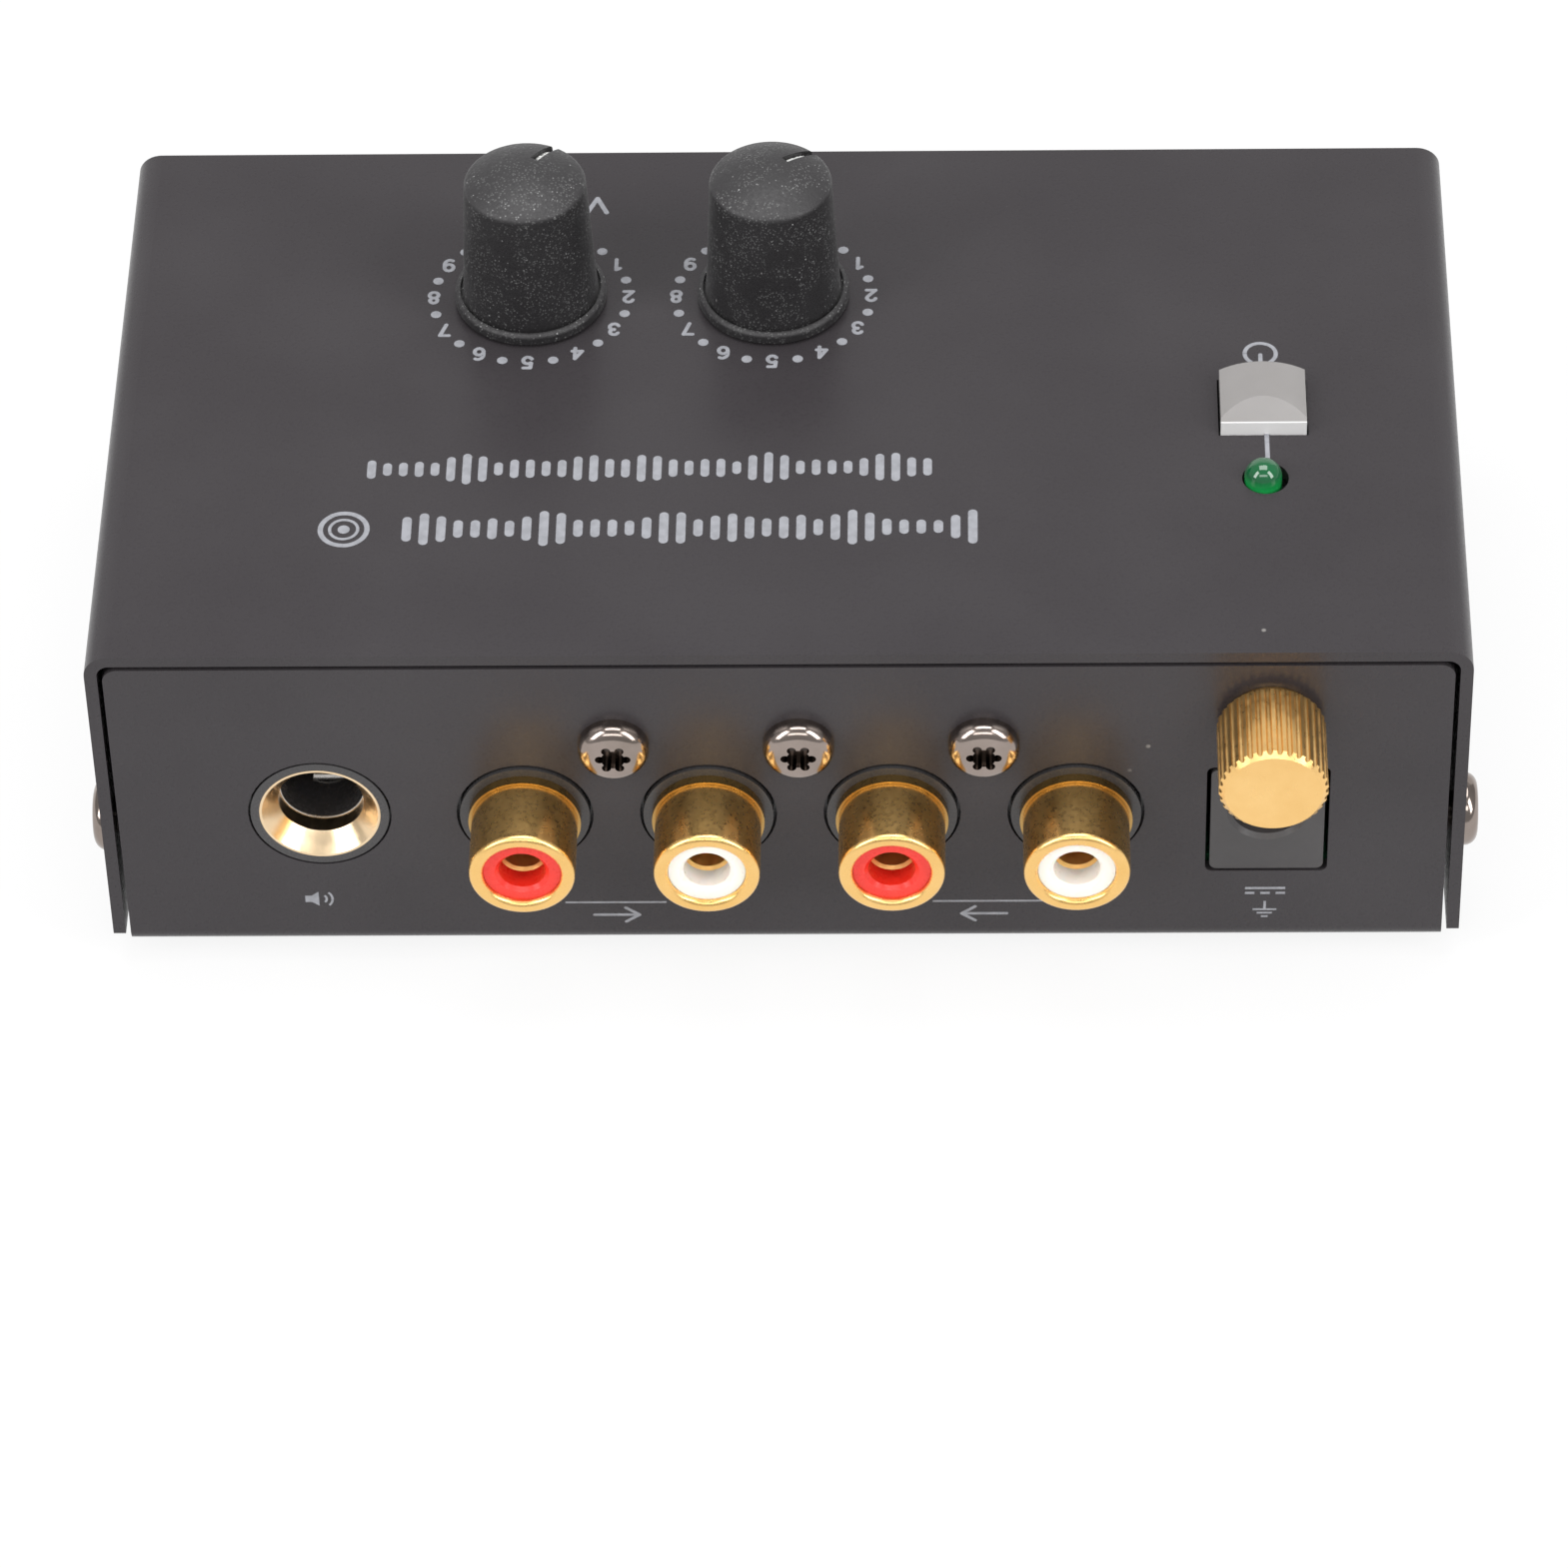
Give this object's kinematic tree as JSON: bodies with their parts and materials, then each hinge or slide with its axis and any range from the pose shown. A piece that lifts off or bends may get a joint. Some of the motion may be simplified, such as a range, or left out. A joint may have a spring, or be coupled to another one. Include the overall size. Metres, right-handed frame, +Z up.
{
  "type": "phono preamp",
  "caption": "Small sheet-metal phono preamplifier box with rotary controls, a push button and lamp on top, and phono sockets, a jack, a power inlet and a ground post on its front panel.",
  "frame": {"origin": "on the floor under the middle of the part's box", "axes": "+Z up, the socket panel faces -Y, +X along the long side"},
  "size_m": [0.111, 0.0682, 0.0478],
  "materials": {
    "case_paint": "satin powder coat",
    "plated_steel": "zinc plated",
    "dark_steel": "black nickel plated",
    "nickel": "nickel plated",
    "gold": "gold plated",
    "rubber": "matt",
    "knob_rubber": "soft-touch coat",
    "black_plastic": "moulded",
    "white_plastic": "moulded",
    "red_plastic": "moulded",
    "button_grey": "moulded",
    "lamp_lens": "tinted diffused lens",
    "board_green": "solder mask",
    "capacitor_sleeve": "shrunk sleeve",
    "film_red": "dipped",
    "resistor_blue": "lacquered",
    "wire_green": "insulation"
  },
  "bodies": {
    "case": {"amplifier_chips": "black_plastic", "board_screws": "plated_steel", "board_standoffs": "nickel", "bottom_chassis": "case_paint", "circuit_board": "board_green", "electrolytic_capacitors": "capacitor_sleeve", "film_capacitors": "film_red", "ground_inner_nut": "nickel", "ground_lug": "nickel", "ground_stud": "gold", "ground_wire": "wire_green", "indicator_lamp": "lamp_lens", "input_left_contact": "gold", "input_left_insulator": "white_plastic", "input_left_shell": "gold", "input_right_contact": "gold", "input_right_insulator": "red_plastic", "input_right_shell": "gold", "lamp_leads": "nickel", "lamp_spacer": "black_plastic", "level_bushing": "nickel", "level_control_case": "nickel", "output_jack_ferrule": "gold", "output_jack_housing": "black_plastic", "output_jack_ring_spring": "nickel", "output_jack_tip_spring": "nickel", "output_left_contact": "gold", "output_left_insulator": "white_plastic", "output_left_shell": "gold", "output_right_contact": "gold", "output_right_insulator": "red_plastic", "output_right_shell": "gold", "phono_screws": "dark_steel", "phono_socket_block": "black_plastic", "power_inlet_housing": "black_plastic", "power_inlet_pin": "nickel", "power_inlet_spring": "nickel", "power_switch_body": "black_plastic", "power_switch_spring": "nickel", "protection_diode": "black_plastic", "resistors": "resistor_blue", "rubber_feet": "rubber", "side_screws": "plated_steel", "top_cover": "case_paint", "voltage_regulator": "black_plastic", "volume_bushing": "nickel", "volume_control_case": "nickel"},
    "volume_control": {"volume_knob": "knob_rubber", "volume_shaft": "nickel"},
    "level_control": {"level_knob": "knob_rubber", "level_shaft": "nickel"},
    "button": {"power_button": "button_grey", "power_switch_plunger": "white_plastic"},
    "ground_washer": {"ground_washer": "gold"},
    "ground_nut": {"ground_thumb_nut": "gold"}
  },
  "joints": [
    {"name": "volume_turn", "type": "hinge", "parent": "case", "child": "volume_control", "pos_m": [-0.00089, 0.01605, 0.0341], "axis": [0, 0, -1], "range_deg": [-16, 284]},
    {"name": "level_turn", "type": "hinge", "parent": "case", "child": "level_control", "pos_m": [-0.02062, 0.01605, 0.0341], "axis": [0, 0, -1], "range_deg": [0, 300]},
    {"name": "button_press", "type": "slide", "parent": "case", "child": "button", "axis": [0, 0, -1], "range_m": [0, 0.002], "stiffness_N_per_m": 600, "springref_m": -0.001, "deforming": ["power_switch_spring"]},
    {"name": "ground_nut_travel", "type": "slide", "parent": "case", "child": "ground_washer", "axis": [0, -1, 0], "range_m": [0, 0.0025]},
    {"name": "ground_nut_turn", "type": "hinge", "parent": "ground_washer", "child": "ground_nut", "pos_m": [0.0384, -0.0259, 0.0269], "axis": [0, -1, 0], "range_deg": [0, 1800]}
  ],
  "couplings": [
    {"joint": "ground_nut_turn", "follows": "ground_nut_travel", "rad_per_m": 12566}
  ]
}
